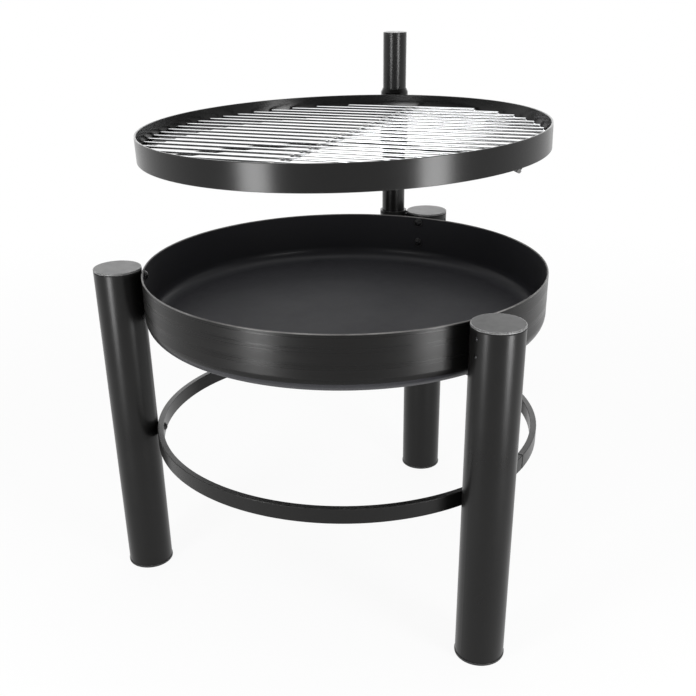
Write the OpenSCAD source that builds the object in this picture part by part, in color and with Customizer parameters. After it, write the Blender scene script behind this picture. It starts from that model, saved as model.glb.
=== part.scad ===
// Fire bowl on three tube legs, with a swinging, height-set grill ring and a loose wire grate.
// Millimetres, +Z up. The origin is on the floor, below the middle of the whole outline.
// Azimuths run clockwise from +Y, seen from above.

/* [Legs] */
// Outer diameter of each leg tube
leg_d = 76.1; // [60:0.1:90]
// Wall of each leg tube
leg_wall = 2.5; // [1.5:0.1:5]
// Height of the legs over everything
leg_h = 550; // [450:5:700]
// Azimuth of the rear leg, the other two follow at thirds of a turn
leg_turn = 26; // [20:1:32]
// Thickness of the disc that closes a leg's top
cap_t = 3; // [2:0.5:6]
// Bevel round the top edge of the disc
cap_bevel = 0.8; // [0.2:0.1:1.5]
// Height of a foot plug's rim, below the tube
foot_rim_h = 4; // [3:0.5:8]
// How far a foot plug's rim stands out past the tube
foot_lip = 0.8; // [0.3:0.1:2]
// Depth of a foot plug inside the tube
foot_depth = 24; // [15:1:40]

/* [Bowl] */
// Outer diameter of the bowl
bowl_d = 650; // [520:5:780]
// Depth of the bowl, outside
bowl_depth = 90; // [75:1:130]
// Thickness of the bowl's sheet
bowl_t = 3; // [2:0.5:4]
// Outer radius of the turn from wall to floor
bowl_fillet = 25; // [12:1:30]
// How far the rim lies below the leg tops
rim_drop = 5; // [2:1:20]
// Distance from the rim down to the upper bolts
bolt_drop = 10; // [9:1:14]
// Distance between the two bolts at a leg
bolt_pitch = 38; // [25:1:40]

/* [Lower ring] */
// Height of the top face of the lower ring above the floor
low_ring_top = 277; // [150:1:380]
// Height of the lower ring's flat bar
low_ring_h = 25; // [20:1:40]
// Thickness of the lower ring's flat bar
low_ring_t = 10; // [6:1:12]

/* [Post and socket] */
// Outer diameter of the post
post_d = 42.4; // [32:0.1:50]
// Wall of the post
post_wall = 2.6; // [1.5:0.1:5]
// Height of the post's top above the floor
post_top = 870; // [845:5:1100]
// Thickness of the disc that closes the post's top
post_cap_t = 3; // [2:0.5:6]
// Wall of the socket tube and of the sleeve
socket_wall = 3.7; // [2.5:0.1:6]
// Length of the socket tube
socket_len = 160; // [120:5:220]
// Height of the glide's rim below the post tube
glide_t = 4; // [3:0.5:8]
// Thickness of the plate that closes the socket's lower end
socket_floor_t = 4; // [3:0.5:8]
// Gap between socket and leg, filled by the welds
weld_gap = 1.5; // [0.5:0.1:3]
// Gap between socket and bowl
bowl_gap = 1; // [0.5:0.1:5]
// Length of each weld bead between socket and leg
weld_len = 50; // [20:5:70]
// Radius of those weld beads
weld_r = 3.5; // [3:0.1:5]

/* [Grill ring] */
// Outer diameter of the grill ring's band
ring_d = 628; // [520:1:740]
// Height of the band
ring_h = 37; // [36:1:50]
// Thickness of the band
ring_t = 3; // [2:0.5:5]
// Height of the band's top edge above the floor, at the ring's centre
ring_top = 765; // [755:1:768]
// Sideways cant of the ring on its sleeve, in degrees
ring_cant = 1.3; // [0:0.1:2]
// Bevel along the band's edges
ring_bevel = 0.6; // [0.2:0.1:0.9]
// Length of the sleeve on the post
sleeve_len = 100; // [90:1:120]
// How far the sleeve stands above the band
sleeve_rise = 9; // [2:1:20]
// Height of the taper at the sleeve's top
sleeve_taper_h = 6; // [2:0.5:10]
// Depth of the taper at the sleeve's top
sleeve_taper = 3; // [1:0.1:3.2]
// Gap between band and sleeve, bridged by the neck plates
neck_len = 12; // [10:1:60]
// Thickness of each neck plate
neck_t = 6; // [4:0.5:10]
// Distance between the two neck plates, centre to centre
neck_pitch = 24; // [14:1:34]
// Height of the neck plates
neck_h = 30; // [20:1:34]
// Diameter of the round bar hoop that the grate rests on
ledge_d = 10; // [8:0.5:11]
// Diameter of the bent brace rod below the band
brace_d = 6; // [5:0.5:10]
// Bend radius of the brace rod, at its centre line
brace_r = 316; // [300:1:330]
// How far the brace's bend centre lies from the ring's centre, away from the post
brace_set = 278; // [240:1:290]

/* [Clamp screw] */
// Diameter of the clamp screw
clamp_d = 8; // [6:1:12]
// Height of the clamp screw above the sleeve's lower end
clamp_rise = 35; // [32:1:45]
// Width across the flats of the welded clamp nut
clamp_nut_af = 17; // [16:1:22]
// Thickness of the clamp nut
clamp_nut_t = 8; // [6:0.5:12]
// Length of the screw that shows behind the nut
clamp_free = 16; // [12:1:30]
// Metal round the cross bar's hole in the screw's head
clamp_head_wall = 2.5; // [2:0.1:4]
// Diameter of the cross bar through the screw's head
clamp_bar_d = 6; // [5:0.5:6.5]
// Length of that cross bar
clamp_bar_len = 48; // [30:1:50]

/* [Grate] */
// Diameter of the grate's wires
wire_d = 4; // [3:0.5:6]
// Distance between neighbouring wires
wire_pitch = 28.2; // [24:0.1:34]
// Depth of the wires' tops below the band's top edge
wire_drop = 15; // [13:0.5:17]
// How far the wires' ends turn down
wire_hook = 5; // [4:0.5:6]
// Play between the wires' ends and the band
grate_play = 2; // [1:0.5:5]
// Diameter of the rod below the wires
cross_d = 6; // [5:0.5:7]
// Azimuth of the rod below the wires
grate_turn = 25; // [0:1:90]

/* [Fasteners] */
// Diameter of the bolts through bowl and lower ring
bolt_d = 8; // [6:1:10]
// Diameter of a bolt's domed head
bolt_head_d = 14; // [13:0.5:16]
// Height of a bolt's domed head
bolt_head_h = 4.4; // [3:0.1:6]
// Width across the flats of the hexagon socket in a head
bolt_key_af = 5; // [3:0.5:6]
// Length of bolt inside the leg, past the flange of its insert
bolt_reach = 12; // [8:1:16]
// Outer diameter of a washer
washer_d = 16; // [15.5:0.5:18]
// Thickness of a washer
washer_t = 1.6; // [1:0.1:2.5]
// Outer diameter of an insert's barrel
insert_d = 11; // [10.5:0.1:12]
// Outer diameter of an insert's flange
insert_flange_d = 14; // [13:0.5:16]
// Thickness of an insert's flange, which sets the gap between leg and bowl
insert_flange_t = 1; // [0.5:0.1:2]
// Length of an insert's barrel
insert_len = 17; // [14:1:20]
// Head diameter of the side rivets
rivet_head_d = 6; // [5:0.5:8]
// Shank diameter of the side rivets
rivet_d = 4; // [3:0.2:4.8]
// Distance from the leg's top to the upper side rivet
rivet_drop = 15; // [12:1:20]
// Distance between the two side rivets
rivet_pitch = 25; // [20:1:30]

/* [Fits] */
// Radial clearance of the post in its socket and in the sleeve
turn_play = 0.08; // [0.03:0.01:0.1]
// Radial clearance of screws in their threads
thread_play = 0.05; // [0.03:0.01:0.1]
// Radial clearance of bolts in plain holes
hole_play = 0.3; // [0.1:0.1:0.5]
// Gap below what rests loosely
rest_gap = 0.3; // [0.2:0.1:0.5]
// Gap round plugs inside their tubes
plug_play = 0.1; // [0.05:0.05:0.3]

/* [Hidden] */
$fn = 96;

eps = 0.01;
black = [0.09, 0.09, 0.095];
plastic = [0.05, 0.05, 0.05];
zinc = [0.62, 0.63, 0.65];
chrome = [0.85, 0.86, 0.88];

REAR = 0;
RIGHT = 1;
LEFT = 2;
leg_count = 3;

leg_r = leg_d / 2;
bowl_r = bowl_d / 2;
leg_circle_r = bowl_r + insert_flange_t + leg_r;
rim_z = leg_h - rim_drop;
bowl_z = rim_z - bowl_depth;
low_ring_r = bowl_r;
low_ring_z = low_ring_top - low_ring_h / 2;

post_r = post_d / 2;
socket_bore_r = post_r + turn_play;
socket_r = socket_bore_r + socket_wall;
socket_z = leg_h - socket_len;
post_z = socket_z + socket_floor_t;

// The socket stands in the corner between the rear leg and the bowl
post_circle_r = bowl_r + bowl_gap + socket_r;
post_leg = leg_r + weld_gap + socket_r;
post_turn = leg_turn - acos((pow(post_circle_r, 2) + pow(leg_circle_r, 2) - pow(post_leg, 2))
    / (2 * post_circle_r * leg_circle_r));

ring_r = ring_d / 2;
ring_in_r = ring_r - ring_t;
// Distance from the bowl's axis to the ring's centre, towards the post
ring_set = post_circle_r - socket_r - neck_len - ring_r;
sleeve_top = ring_top + sleeve_rise;
sleeve_z = sleeve_top - sleeve_len;
clamp_z = sleeve_z + clamp_rise;
clamp_head_r = clamp_bar_d / 2 + clamp_head_wall;
clamp_back = socket_r + clamp_nut_t + clamp_free + 2 * clamp_head_r;

// Heights in the ring's own frame, from the band's top edge down
hook_turn = 45;
hook_side = wire_d / 2 * cos(hook_turn);
wire_z = -wire_drop - wire_d / 2;
ledge_z = wire_z - wire_hook - hook_side - rest_gap - ledge_d / 2;
cross_z = wire_z - wire_d / 2 - cross_d / 2;
brace_z = -ring_h - brace_d / 2;
wire_end_r = ring_in_r - grate_play - hook_side;
cross_half = ring_in_r - ledge_d - grate_play - cross_d / 2;
wire_side = floor((wire_end_r - wire_pitch / 2) / wire_pitch);

// The bowl's axis, set so that the origin lies below the middle of the outline
function leg_azimuth(i) = leg_turn + i * 360 / leg_count;
function leg_x(i) = leg_circle_r * sin(leg_azimuth(i));
function leg_y(i) = leg_circle_r * cos(leg_azimuth(i));
foot_r = leg_r + foot_lip;
back_y = max(leg_y(REAR) + foot_r,
    (post_circle_r + clamp_back) * cos(post_turn) + clamp_head_r * sin(post_turn));
axis_x = -(bowl_r + leg_x(LEFT) - foot_r) / 2;
axis_y = -(back_y + leg_y(RIGHT) - foot_r) / 2;

// Distance from a round wall's axis to a flat face of radius r that seats inside it
function seat(wall_r, r) = sqrt(wall_r * wall_r - r * r) - eps;

module at_axis() translate([axis_x, axis_y, 0]) children();
module at_azimuth(azimuth, r) rotate([0, 0, -azimuth]) translate([0, r, 0]) children();
module at_leg(i) at_axis() at_azimuth(leg_azimuth(i), leg_circle_r) children();
module at_post() at_axis() at_azimuth(post_turn, post_circle_r) children();
module outward() rotate([-90, 0, 0]) children();
module sideways() rotate([0, 90, 0]) children();

// The grill ring's frame: centre of its top edge, canted sideways
module at_ring()
    at_axis() at_azimuth(post_turn, ring_set)
        translate([0, 0, ring_top]) rotate([0, 0, post_turn]) rotate([0, -ring_cant, 0]) rotate([0, 0, -post_turn])
            children();

module tube(r, wall, h) {
    difference() {
        cylinder(r = r, h = h);
        translate([0, 0, -eps]) cylinder(r = r - wall, h = h + 2 * eps);
    }
}

module bevelled_disc(r, h, bevel) {
    cylinder(r = r, h = h - bevel);
    translate([0, 0, h - bevel]) cylinder(r1 = r, r2 = r - bevel, h = bevel);
}

module bevelled_bar_profile(w, h, bevel) {
    polygon([
        [bevel, 0], [w - bevel, 0], [w, bevel], [w, h - bevel],
        [w - bevel, h], [bevel, h], [0, h - bevel], [0, bevel]
    ]);
}

bolt_heights = [rim_z - bolt_drop, rim_z - bolt_drop - bolt_pitch];

// Places children at the bolts of bowl and legs, z along the bolt and away from the bowl's axis
module at_bowl_bolts(r)
    at_axis()
        for (i = [0 : leg_count - 1], z = bolt_heights)
            at_azimuth(leg_azimuth(i), r) translate([0, 0, z]) outward() children();

module at_ring_bolts(r)
    at_axis()
        for (i = [0 : leg_count - 1])
            at_azimuth(leg_azimuth(i), r) translate([0, 0, low_ring_z]) outward() children();

module leg(i) {
    tube_z = foot_rim_h;
    tube_h = leg_h - cap_t - tube_z;
    color(black)
        at_leg(i)
            difference() {
                translate([0, 0, tube_z]) tube(leg_r, leg_wall, tube_h);
                for (z = concat(bolt_heights, [low_ring_z]))
                    translate([0, -leg_r + 2 * leg_wall, z]) rotate([90, 0, 0])
                        cylinder(r = insert_d / 2 + thread_play, h = 3 * leg_wall);
                for (k = [0, 1])
                    translate([leg_r - 2 * leg_wall, 0, leg_h - rivet_drop - k * rivet_pitch]) sideways()
                        cylinder(r = rivet_d / 2 + thread_play, h = 3 * leg_wall);
            }
}

module leg_cap(i) {
    color(black)
        at_leg(i) translate([0, 0, leg_h - cap_t]) bevelled_disc(leg_r, cap_t, cap_bevel);
}

// Moulded plug: a rim under the tube, a cup inside it and gripping ribs round the cup
module foot_plug(i) {
    cup_play = 2;
    cup_r = leg_r - leg_wall - cup_play;
    cup_wall = 2.5;
    rib_t = 1.2;
    rib_r = leg_r - leg_wall - plug_play;
    round_r = 1.5;
    color(plastic)
        at_leg(i)
            difference() {
                union() {
                    rotate_extrude() {
                        translate([0, round_r]) square([foot_r, foot_rim_h - round_r]);
                        square([foot_r - round_r, foot_rim_h]);
                        translate([foot_r - round_r, round_r]) circle(r = round_r, $fn = 32);
                    }
                    translate([0, 0, foot_rim_h - eps]) cylinder(r = cup_r, h = foot_depth);
                    for (z = [1 : 3])
                        translate([0, 0, foot_rim_h + z * foot_depth / 4]) cylinder(r = rib_r, h = rib_t);
                }
                translate([0, 0, foot_rim_h]) cylinder(r = cup_r - cup_wall, h = foot_depth + eps);
            }
}

// Solid of revolution's half outline: a drum with a rounded lower corner
module drum_profile(r, h, fillet) {
    square([r - fillet, h]);
    translate([0, fillet]) square([r, h - fillet]);
    translate([r - fillet, fillet]) circle(r = fillet);
}

module bowl() {
    lip_r = bowl_t / 2;
    color(black)
        difference() {
            at_axis() translate([0, 0, bowl_z])
                rotate_extrude($fn = 180) {
                    difference() {
                        drum_profile(bowl_r, bowl_depth - lip_r, bowl_fillet);
                        translate([0, bowl_t])
                            drum_profile(bowl_r - bowl_t, bowl_depth, bowl_fillet - bowl_t);
                    }
                    translate([bowl_r - lip_r, bowl_depth - lip_r]) circle(r = lip_r, $fn = 32);
                }
            at_bowl_bolts(bowl_r - 2 * bowl_t) cylinder(r = bolt_d / 2 + hole_play, h = 3 * bowl_t);
        }
}

module lower_ring() {
    bevel = 0.8;
    color(black)
        difference() {
            at_axis() translate([0, 0, low_ring_top - low_ring_h])
                rotate_extrude($fn = 180)
                    translate([low_ring_r - low_ring_t, 0]) bevelled_bar_profile(low_ring_t, low_ring_h, bevel);
            at_ring_bolts(low_ring_r - 2 * low_ring_t)
                cylinder(r = bolt_d / 2 + hole_play, h = 3 * low_ring_t);
        }
}

// Threaded insert: flange outside the tube, barrel through its wall
module insert() {
    barrel = insert_len + insert_flange_t;
    difference() {
        union() {
            cylinder(r = insert_flange_d / 2, h = insert_flange_t);
            cylinder(r = insert_d / 2, h = barrel);
        }
        translate([0, 0, -eps]) cylinder(r = bolt_d / 2 + thread_play, h = barrel + 2 * eps);
    }
}

// Domed bolt: z = 0 is the seat of its head, the shank runs along +z
module bolt(grip) {
    key_share = 0.6;
    key_depth = bolt_head_h * key_share;
    dome_r = (pow(bolt_head_d / 2, 2) + pow(bolt_head_h, 2)) / (2 * bolt_head_h);
    difference() {
        intersection() {
            translate([0, 0, -bolt_head_h + dome_r]) sphere(r = dome_r);
            translate([0, 0, -bolt_head_h - eps]) cylinder(r = bolt_head_d, h = bolt_head_h + eps);
        }
        translate([0, 0, -bolt_head_h - eps])
            cylinder(d = bolt_key_af / cos(30), h = key_depth + eps, $fn = 6);
    }
    cylinder(r = bolt_d / 2, h = grip + bolt_reach);
}

module bowl_inserts() { color(zinc) at_bowl_bolts(bowl_r) insert(); }
module ring_inserts() { color(zinc) at_ring_bolts(low_ring_r) insert(); }

washer_seat = seat(bowl_r - bowl_t, washer_d / 2);
module bowl_washers() {
    color(black)
        at_bowl_bolts(washer_seat - washer_t)
            difference() {
                cylinder(r = washer_d / 2, h = washer_t);
                translate([0, 0, -eps]) cylinder(r = bolt_d / 2 + hole_play, h = washer_t + 2 * eps);
            }
}

module bowl_bolts() {
    color(black) at_bowl_bolts(washer_seat - washer_t) bolt(bowl_r + insert_flange_t - washer_seat + washer_t);
}

module ring_bolts() {
    head_seat = seat(low_ring_r - low_ring_t, bolt_head_d / 2);
    color(black) at_ring_bolts(head_seat) bolt(low_ring_r + insert_flange_t - head_seat);
}

module side_rivets() {
    head_h = 1.6;
    blind_h = 3;
    dome_r = (pow(rivet_head_d / 2, 2) + pow(head_h, 2)) / (2 * head_h);
    color(zinc)
        for (i = [0 : leg_count - 1], k = [0, 1])
            at_leg(i)
                translate([leg_r, 0, leg_h - rivet_drop - k * rivet_pitch]) sideways() {
                    intersection() {
                        translate([0, 0, head_h - dome_r]) sphere(r = dome_r);
                        cylinder(r = rivet_head_d, h = head_h + eps);
                    }
                    translate([0, 0, -leg_wall - blind_h]) cylinder(r = rivet_d / 2, h = leg_wall + blind_h + eps);
                }
}

module post_socket() {
    color(black) at_post() translate([0, 0, socket_z]) tube(socket_r, socket_wall, socket_len);
}

module socket_floor() {
    color(black)
        at_post() translate([0, 0, socket_z]) cylinder(r = socket_bore_r - plug_play, h = socket_floor_t);
}

// Two stitches on each side of the line where socket and leg meet
module socket_welds() {
    start = 5;
    bead_out = 9;
    line = socket_r + weld_gap / 2;
    heights = [leg_h - start - weld_len, socket_z + start];
    // Bearing of the leg from the post, in the post's own frame
    dx = leg_x(REAR) - post_circle_r * sin(post_turn);
    dy = leg_y(REAR) - post_circle_r * cos(post_turn);
    color(black)
        difference() {
            at_post() rotate([0, 0, post_turn - atan2(dx, dy)])
                for (side = [-1, 1], z = heights)
                    translate([side * bead_out, line, z]) cylinder(r = weld_r, h = weld_len);
            at_leg(REAR) cylinder(r = leg_r, h = leg_h);
            at_post() cylinder(r = socket_r, h = leg_h);
        }
}

module post_tube() {
    color(black)
        at_post() translate([0, 0, post_z + glide_t])
            tube(post_r, post_wall, post_top - post_cap_t - post_z - glide_t);
}

module post_cap() {
    color(black) at_post() translate([0, 0, post_top - post_cap_t]) bevelled_disc(post_r, post_cap_t, cap_bevel);
}

// Glide under the post: a rim that turns on the socket's floor, and a spigot in the tube
module post_plug() {
    spigot_r = post_r - post_wall - plug_play;
    color(plastic)
        at_post() translate([0, 0, post_z]) {
            cylinder(r = post_r, h = glide_t);
            translate([0, 0, glide_t - eps]) cylinder(r = spigot_r, h = foot_depth);
        }
}

module sleeve() {
    color(black)
        at_post() translate([0, 0, sleeve_z])
            difference() {
                union() {
                    cylinder(r = socket_r, h = sleeve_len - sleeve_taper_h);
                    translate([0, 0, sleeve_len - sleeve_taper_h])
                        cylinder(r1 = socket_r, r2 = socket_r - sleeve_taper, h = sleeve_taper_h);
                }
                translate([0, 0, -eps]) cylinder(r = socket_bore_r, h = sleeve_len + 2 * eps);
                translate([0, 0, clamp_rise]) outward() cylinder(r = clamp_d / 2 + thread_play, h = 2 * socket_r);
            }
}

module ring_band() {
    color(black)
        at_ring() translate([0, 0, -ring_h])
            rotate_extrude($fn = 180) translate([ring_in_r, 0]) bevelled_bar_profile(ring_t, ring_h, ring_bevel);
}

// Two upright plates from the band's outer face to the sleeve
module neck_plates() {
    color(black)
        difference() {
            at_ring()
                for (side = [-1, 1])
                    translate([side * neck_pitch / 2 - neck_t / 2, ring_in_r, -(ring_h + neck_h) / 2])
                        cube([neck_t, neck_len + ring_t + socket_r, neck_h]);
            at_ring() translate([0, 0, -2 * ring_h]) cylinder(r = ring_r, h = 3 * ring_h, $fn = 180);
            at_post() cylinder(r = socket_r, h = post_top);
        }
}

module ledge_hoop() {
    color(black)
        at_ring() translate([0, 0, ledge_z])
            rotate_extrude($fn = 180) translate([ring_in_r - ledge_d / 2, 0]) circle(r = ledge_d / 2, $fn = 48);
}

// Bent rod across the ring, its ends welded under the band
module brace_rod() {
    end_r = ring_r - ring_t / 2;
    half = acos((pow(brace_set, 2) + pow(brace_r, 2) - pow(end_r, 2)) / (2 * brace_set * brace_r));
    color(black)
        at_ring() translate([0, -brace_set, brace_z])
            rotate([0, 0, 90 - half]) rotate_extrude(angle = 2 * half, $fn = 180)
                translate([brace_r, 0]) circle(r = brace_d / 2, $fn = 48);
}

module clamp_nut() {
    color(black)
        difference() {
            at_post() translate([0, 0, clamp_z]) outward()
                difference() {
                    translate([0, 0, post_r]) cylinder(
                        d = clamp_nut_af / cos(30), h = socket_r - post_r + clamp_nut_t, $fn = 6);
                    cylinder(r = clamp_d / 2 + thread_play, h = 3 * socket_r);
                }
            at_post() cylinder(r = socket_r, h = post_top);
        }
}

// Screw with a round head, drilled across for the bar that is pressed into it
module clamp_screw() {
    head_z = socket_r + clamp_nut_t + clamp_free;
    color(zinc)
        at_post() translate([0, 0, clamp_z]) outward()
            difference() {
                union() {
                    translate([0, 0, post_r + rest_gap])
                        cylinder(r = clamp_d / 2, h = head_z - post_r - rest_gap + eps);
                    translate([0, 0, head_z]) cylinder(r = clamp_head_r, h = 2 * clamp_head_r);
                }
                translate([0, 0, head_z + clamp_head_r]) rotate([90, 0, 0])
                    cylinder(r = clamp_bar_d / 2 + thread_play, h = 4 * clamp_head_r, center = true);
            }
}

module clamp_bar() {
    reach = socket_r + clamp_nut_t + clamp_free + clamp_head_r;
    color(zinc)
        at_post() translate([0, reach, clamp_z - clamp_bar_len / 2]) {
            cylinder(r = clamp_bar_d / 2, h = clamp_bar_len);
            for (z = [0, clamp_bar_len]) translate([0, 0, z]) sphere(r = clamp_bar_d / 2);
        }
}

// One wire along x, its ends cut to a mitre and turned down and outwards
module grate_wire(half) {
    block = 4 * wire_d;
    difference() {
        sideways() cylinder(r = wire_d / 2, h = 2 * half, center = true, $fn = 24);
        for (side = [0, 180])
            at_wire_bend(half, side) translate([0, -block / 2, -block / 2]) cube(block);
    }
    for (side = [0, 180])
        at_wire_bend(half, side)
            difference() {
                rotate([0, 90 + hook_turn / 2, 0]) translate([0, 0, -wire_d])
                    cylinder(r = wire_d / 2, h = wire_d + wire_hook / sin(hook_turn), $fn = 24);
                translate([-block, -block / 2, -block / 2]) cube(block);
            }
}

// The mitre's frame: x is square to the mitre's face and points out of the straight run
module at_wire_bend(half, side)
    rotate([0, 0, side])
        translate([half - wire_hook / tan(hook_turn), 0, 0]) rotate([0, hook_turn / 2, 0]) children();

module at_grate() at_ring() rotate([0, 0, post_turn - grate_turn]) children();

module grate_wires() {
    color(chrome)
        at_grate()
            for (k = [-wire_side : wire_side]) {
                y = k * wire_pitch;
                translate([0, y, wire_z]) grate_wire(sqrt(wire_end_r * wire_end_r - y * y));
            }
}

module grate_cross_rod() {
    color(chrome)
        at_grate() translate([0, -cross_half, cross_z]) outward() {
            cylinder(r = cross_d / 2, h = 2 * cross_half, $fn = 48);
            for (z = [0, 2 * cross_half]) translate([0, 0, z]) sphere(r = cross_d / 2, $fn = 48);
        }
}

leg(REAR);  // leg_rear
leg(RIGHT);  // leg_right
leg(LEFT);  // leg_left
leg_cap(REAR);  // leg_cap_rear
leg_cap(RIGHT);  // leg_cap_right
leg_cap(LEFT);  // leg_cap_left
foot_plug(REAR);  // foot_plug_rear
foot_plug(RIGHT);  // foot_plug_right
foot_plug(LEFT);  // foot_plug_left
bowl();
lower_ring();
bowl_inserts();
bowl_washers();
bowl_bolts();
ring_inserts();
ring_bolts();
side_rivets();
post_socket();
socket_floor();
socket_welds();
post_tube();
post_cap();
post_plug();
sleeve();
neck_plates();
ring_band();
ledge_hoop();
brace_rod();
clamp_nut();
clamp_screw();
clamp_bar();
grate_wires();
grate_cross_rod();
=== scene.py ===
"""Fire bowl grill: finishes, welds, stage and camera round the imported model, in metres.

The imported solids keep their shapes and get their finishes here. The welds, the lower ring's seam and the
clamp screw's thread are pieces of their own.
"""

from math import acos, atan2, cos, pi, radians, sin, sqrt, tau

import bpy
from bpy.props import FloatProperty, FloatVectorProperty, IntProperty, PointerProperty
from mathutils import Matrix, Vector


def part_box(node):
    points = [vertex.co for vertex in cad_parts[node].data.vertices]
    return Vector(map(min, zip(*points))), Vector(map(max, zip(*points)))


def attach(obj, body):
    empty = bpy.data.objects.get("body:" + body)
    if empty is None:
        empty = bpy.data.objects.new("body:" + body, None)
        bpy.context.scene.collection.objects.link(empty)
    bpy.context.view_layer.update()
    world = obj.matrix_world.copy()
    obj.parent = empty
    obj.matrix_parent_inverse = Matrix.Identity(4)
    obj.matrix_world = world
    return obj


bl_info = {
    "name": "Fire Bowl Grill",
    "version": (1, 0, 0),
    "blender": (4, 5, 0),
    "location": "View3D > Sidebar > Fire Bowl",
    "description": "Finishes, welds and stage for the fire bowl grill",
    "category": "Object",
}

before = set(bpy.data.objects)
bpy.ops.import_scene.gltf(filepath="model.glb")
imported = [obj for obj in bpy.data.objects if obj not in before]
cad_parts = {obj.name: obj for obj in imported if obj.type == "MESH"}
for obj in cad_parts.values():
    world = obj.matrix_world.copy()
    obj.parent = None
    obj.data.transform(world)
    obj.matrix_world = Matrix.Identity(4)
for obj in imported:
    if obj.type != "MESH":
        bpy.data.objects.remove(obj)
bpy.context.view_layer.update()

MM = 0.001


def middle(node):
    """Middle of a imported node's box."""
    low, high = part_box(node)
    return (low + high) / 2


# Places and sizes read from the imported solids
BOWL_LOW, BOWL_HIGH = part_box("bowl")
BOWL_AXIS = (BOWL_LOW + BOWL_HIGH) / 2
BOWL_R = (BOWL_HIGH.x - BOWL_LOW.x) / 2
POST_AXIS = middle("post_tube")
POST_TURN = atan2(POST_AXIS.x - BOWL_AXIS.x, POST_AXIS.y - BOWL_AXIS.y)
LEG_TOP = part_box("leg_cap_rear")[0].z
SLEEVE_R = (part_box("sleeve")[1].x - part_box("sleeve")[0].x) / 2
CLAMP_Z = middle("clamp_bar").z
LOWER_LOW, LOWER_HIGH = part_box("lower_ring")

# Values of the part's source that a box doesn't give
BOWL_SHEET = 3 * MM
RING_TOP = 765 * MM
RING_CANT = radians(1.3)
RING_R = 314 * MM
GRATE_TURN = radians(25)
BAND_H = 37 * MM
BAND_T = 3 * MM
WIRE_D = 4 * MM
WIRE_PITCH = 28.2 * MM
WIRE_DROP = 15 * MM
WIRE_SIDE = 10
CROSS_D = 6 * MM
LEDGE_D = 10 * MM
LEDGE_Z = -28.7 * MM
NECK_PITCH = 24 * MM
NECK_T = 6 * MM
NECK_LOW, NECK_HIGH = -33.5 * MM, -3.5 * MM
BRACE_D = 6 * MM
BRACE_R = 316 * MM
BRACE_SET = 278 * MM
CLAMP_D = 8 * MM
LOWER_T = 10 * MM

# Frames of the grill ring, its grate, its neck and the clamp, whose screw runs along z
RING_PLACE = (Matrix.Translation((BOWL_AXIS.x, BOWL_AXIS.y, RING_TOP))
              @ Matrix.Rotation(-RING_CANT, 4, "Y"))
GRATE_PLACE = RING_PLACE @ Matrix.Rotation(-GRATE_TURN, 4, "Z")
NECK_PLACE = RING_PLACE @ Matrix.Rotation(-POST_TURN, 4, "Z")
CLAMP_PLACE = (Matrix.Translation((POST_AXIS.x, POST_AXIS.y, CLAMP_Z)) @ Matrix.Rotation(-POST_TURN, 4, "Z")
               @ Matrix.Rotation(-pi / 2, 4, "X"))

# Specular levels of the coatings
COAT_SPECULAR = 0.25
BOWL_SPECULAR = 0.20
POST_SPECULAR = 0.38
CAP_SPECULAR = 0.33

# Colours that wear, dust and heat bring up, and colours of painted light, shade and highlights
DUST_COLOUR = (0.1, 0.097, 0.093)
ASH_AND_PAINTED_LIGHT_COLOUR = (0.1, 0.1, 0.11)
JOINT_SHADE_COLOUR = (0.001, 0.001, 0.001)
BOWL_RUB_AND_HIGHLIGHT = (0.24, 0.235, 0.23)
ZINC_RUB = (0.75, 0.75, 0.76)
PLASTIC_RUB = (0.15, 0.15, 0.15)
HEAT_TINT = (0.34, 0.33, 0.32)

# Rubbed edges of a coat, and the painted highlight round a leg cap's rim: width, gain, breaks, strength and
# grey
WORN_COAT = (1.2 * MM, 4.0, 0.75, 0.5, 0.2)
CAP_RIM_HIGHLIGHT = (2.0 * MM, 9.0, 0.15, 1.0, 0.45)

# How far the painted shade line under a leg's cap lies below the leg's top
JOINT_SHADE_DROP = 0.8 * MM
# Radius that softens a coated edge
COAT_ROUNDING = 0.6 * MM
BEVEL_SAMPLES = 4

# Bowl: share of painted light, a lighter grey, on its floor, and the heights where that fades out over the
# rounded corner
PAINTED_FLOOR_LIGHT = 0.15
PAINTED_FLOOR_LIGHT_FADE = (8 * MM, 28 * MM)
# Height of the glossier corner, and the distances from it where the gloss starts to fade and ends
CORNER_Z = 15 * MM
CORNER_FADE = (4 * MM, 12 * MM)
# Depth below the rim's top where the painted highlight round the rim starts, and where it is full
RIM_HIGHLIGHT_START, RIM_HIGHLIGHT_FULL = 1.8 * MM, 0.9 * MM

# Parts of a noise's range: nearly all of it, and its middle
NOISE_SPAN = (0.3, 0.7)
NOISE_MIDDLE = (0.35, 0.65)

# Meshes
ORIGIN = (0, 0, 0)
ALONG_X = Matrix.Rotation(pi / 2, 4, "Y")
ALONG_Y = Matrix.Rotation(pi / 2, 4, "X")
MERGE_DISTANCE = 0.01 * MM
SMOOTH_ANGLE = radians(50)
BEAD_SIDES = 10
# Shares of the radius at a bead's end and one step further in
BEAD_ENDS = (0.45, 0.85)
SEAM_AZIMUTH = radians(121)
SEAM_R = 3 * MM
SEAM_FLAT = 0.25
# How much shorter a bead is than its joint
SEAM_GAP = 1.5 * MM
NECK_GAP = 3 * MM
TACK_LENGTH = 12 * MM
THREAD_START, THREAD_END = 33.2 * MM, 48.8 * MM
THREAD_PITCH = 1.25 * MM
THREAD_SECTION = (0.6, 1, 0.95)
THREAD_STEPS = 32

# Camera, fitted to the photograph
CAMERA_PLACE = (0.035027, -1.522870, 0.992526)
CAMERA_PITCH = 0.44635
CAMERA_ROLL = -0.0113
CAMERA_PAN = 0.00533
FOCAL = 950.4184
IMAGE = 696
IMAGE_CENTRE = (349.3635, 411.4930)
SENSOR = 36.0
CLIP_START, CLIP_END = 0.05, 200

# Stage
FLOOR_SIZE = 120.0
# Distances from the origin between which the floor turns wholly white
WHITE_START, WHITE_END = 0.9, 2.4
# Depths of a ray, -1 towards the camera's side and 1 away, between which the room turns white for gloss
FRONT_END, BACK_START = -0.45, 0.1
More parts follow.
